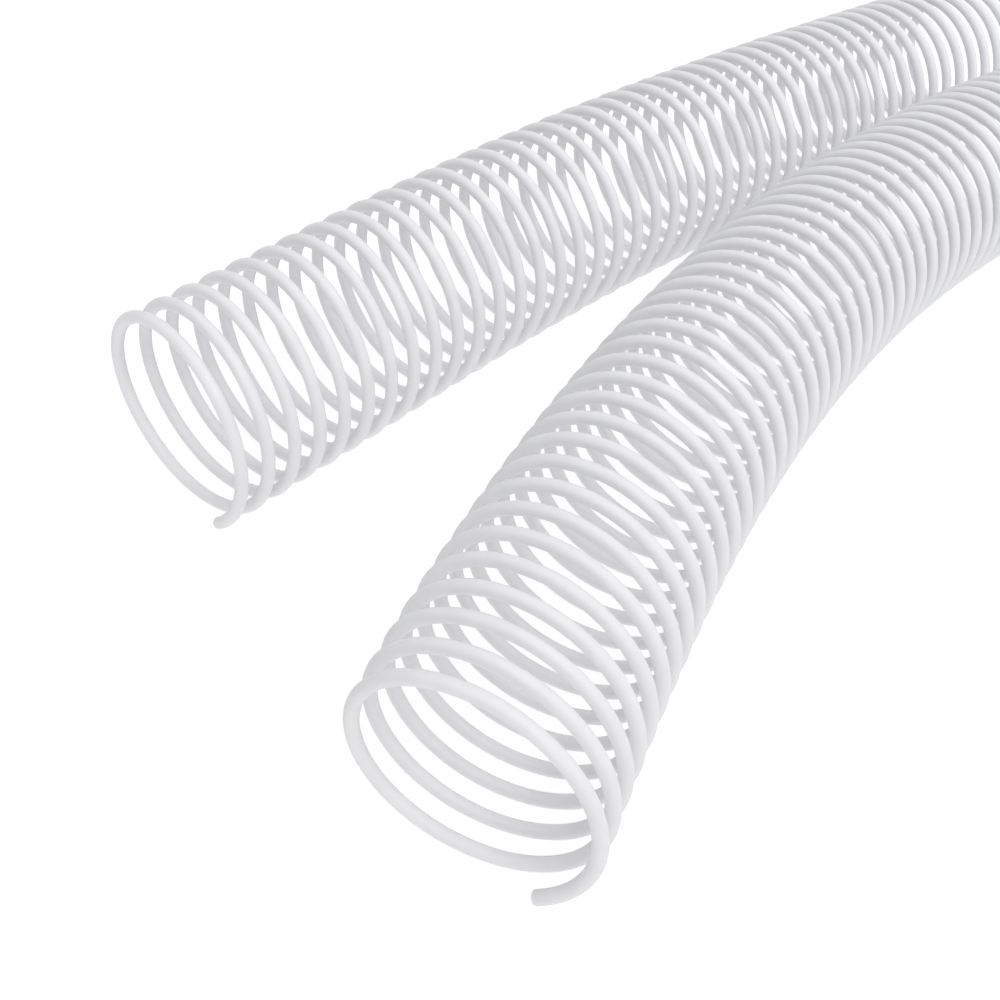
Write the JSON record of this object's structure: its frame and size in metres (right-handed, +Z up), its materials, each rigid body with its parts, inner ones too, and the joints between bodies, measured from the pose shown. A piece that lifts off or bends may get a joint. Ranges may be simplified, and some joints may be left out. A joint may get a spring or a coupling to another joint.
{
  "type": "tree guard tube",
  "caption": "Loose open spiral guard coils of round white plastic filament with plain cut ends, lying side by side; a stem or bundle goes through the bore.",
  "frame": {"origin": "on the resting surface, under the middle of the box round both coils", "axes": "+Z up from the resting surface; +Y along the pair's longest side, away from the open mouths in front; +X to the right, the side that the coils bend towards"},
  "size_m": [0.2304, 0.3074, 0.045],
  "materials": {
    "front_coil_plastic": "milky white, slightly see-through extruded plastic, matt to satin",
    "rear_coil_plastic": "milky white, slightly see-through extruded plastic, matt to satin"
  },
  "bodies": {
    "front_coil": {"front_coil": "front_coil_plastic"},
    "rear_coil": {"rear_coil": "rear_coil_plastic"}
  },
  "joints": [
    {"name": "rear_coil_lift", "type": "slide", "parent": "front_coil", "child": "rear_coil", "axis": [0, 0, 1], "range_m": [0, 0.06]}
  ]
}
